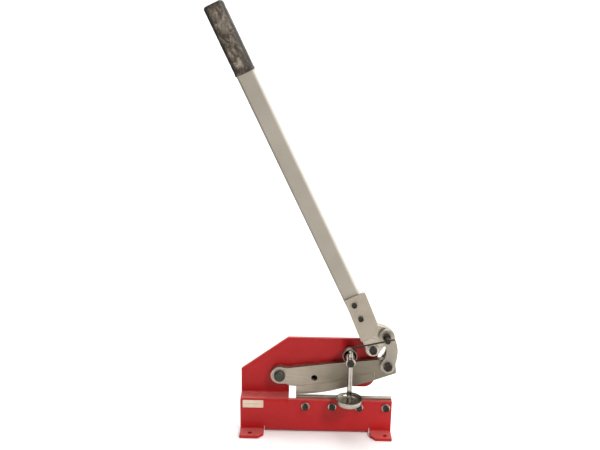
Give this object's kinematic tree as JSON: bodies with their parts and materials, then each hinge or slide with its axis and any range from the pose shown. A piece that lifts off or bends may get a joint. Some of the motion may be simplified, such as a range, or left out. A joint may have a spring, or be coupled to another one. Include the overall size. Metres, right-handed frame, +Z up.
{
  "type": "hand lever shear",
  "caption": "Bench plate shear: folded frame plate, pivoted blade lever, C-links and a long handle that drives it, lower blade, round-bar hole and a hold-down pad.",
  "frame": {"origin": "middle of the outline on the bench surface, under the parked assembly", "axes": "+X to the operator's right along the blades, +Y away from the operator, +Z up"},
  "size_m": [0.3827, 0.124, 0.8663],
  "materials": {
    "red_paint": "satin red enamel on folded plate",
    "sticker": "plain cream sticker",
    "blade_steel": "ground tool steel",
    "lever_steel": "ground plate, light oil film",
    "ground_steel": "ground plate with straight grain",
    "tube_paint": "light taupe-grey enamel",
    "grip_vinyl": "dipped vinyl, glossy with mottling",
    "zinc_plate": "zinc plated",
    "bright_chrome": "bright plated",
    "collar_steel": "turned steel, blackened inside",
    "foot_steel": "turned steel pad, dark dish",
    "bush_bronze": "turned bronze",
    "black_oxide": "blackened fastener"
  },
  "bodies": {
    "frame": {"frame_plate": "red_paint", "front_label": "sticker", "lower_blade": "blade_steel", "blade_bolt_1": "black_oxide", "blade_bolt_2": "black_oxide", "blade_bolt_3": "black_oxide", "blade_bolt_4": "black_oxide", "blade_washer_1": "zinc_plate", "blade_washer_2": "zinc_plate", "blade_washer_3": "zinc_plate", "blade_washer_4": "zinc_plate", "lever_pivot_pin": "black_oxide", "lever_pivot_washer": "zinc_plate", "lever_pivot_nut": "black_oxide", "handle_pivot_bolt": "black_oxide", "handle_pivot_washer": "zinc_plate", "handle_pivot_washer_rear": "zinc_plate", "handle_pivot_nut": "black_oxide", "hold_down_stud": "bright_chrome", "hold_down_collar": "collar_steel", "stud_washer": "zinc_plate", "stud_nut": "black_oxide"},
    "handle": {"bracket_cheek_front": "ground_steel", "bracket_cheek_rear": "ground_steel", "spacer_plate_front": "ground_steel", "spacer_plate_rear": "ground_steel", "cam_plate": "lever_steel", "handle_tube": "tube_paint", "handle_grip": "grip_vinyl", "cheek_bolt_1": "black_oxide", "cheek_bolt_2": "black_oxide", "cheek_nut_1": "black_oxide", "cheek_nut_2": "black_oxide", "upper_link_bolt": "black_oxide", "upper_link_nut": "black_oxide", "stop_rod": "zinc_plate"},
    "lever": {"blade_lever": "lever_steel", "upper_blade": "blade_steel", "upper_blade_screw_1": "black_oxide", "upper_blade_screw_2": "black_oxide", "upper_blade_screw_3": "black_oxide", "upper_blade_screw_4": "black_oxide", "lever_bush": "bush_bronze"},
    "links": {"link_front": "ground_steel", "link_rear": "ground_steel", "lower_link_bolt": "black_oxide", "lower_link_nut": "black_oxide"},
    "hold_down_screw": {"hold_down_rod": "bright_chrome"},
    "hold_down_pad": {"hold_down_foot": "foot_steel"},
    "lock_screw": {"rod_lock_screw": "black_oxide"}
  },
  "joints": [
    {"name": "handle_pivot", "type": "hinge", "parent": "frame", "child": "handle", "pos_m": [0.14252, 0.0107, 0.185], "axis": [0, 1, 0], "range_deg": [0, 62]},
    {"name": "lever_pivot", "type": "hinge", "parent": "frame", "child": "lever", "pos_m": [-0.04928, 0.0107, 0.1216], "axis": [0, 1, 0], "range_deg": [0, 9.8]},
    {"name": "link_pivot", "type": "hinge", "parent": "handle", "child": "links", "pos_m": [0.16852, 0.0107, 0.2165], "axis": [0, 1, 0], "range_deg": [-48.5, 0]},
    {"name": "hold_down_slide", "type": "slide", "parent": "frame", "child": "hold_down_screw", "axis": [0, 0, 1], "range_m": [-0.004, 0.055]},
    {"name": "pad_swivel", "type": "hinge", "parent": "hold_down_screw", "child": "hold_down_pad", "pos_m": [0.09452, -0.035, 0.084], "axis": [0, 0, 1], "continuous": true},
    {"name": "lock_screw_turn", "type": "hinge", "parent": "frame", "child": "lock_screw", "pos_m": [0.09452, -0.045, 0.1765], "axis": [0, 1, 0], "range_deg": [-180, 0]}
  ],
  "couplings": [
    {"joint": "lever_pivot", "follows": "handle_pivot", "ratio": 0.1572},
    {"joint": "link_pivot", "follows": "handle_pivot", "ratio": -0.7808}
  ]
}
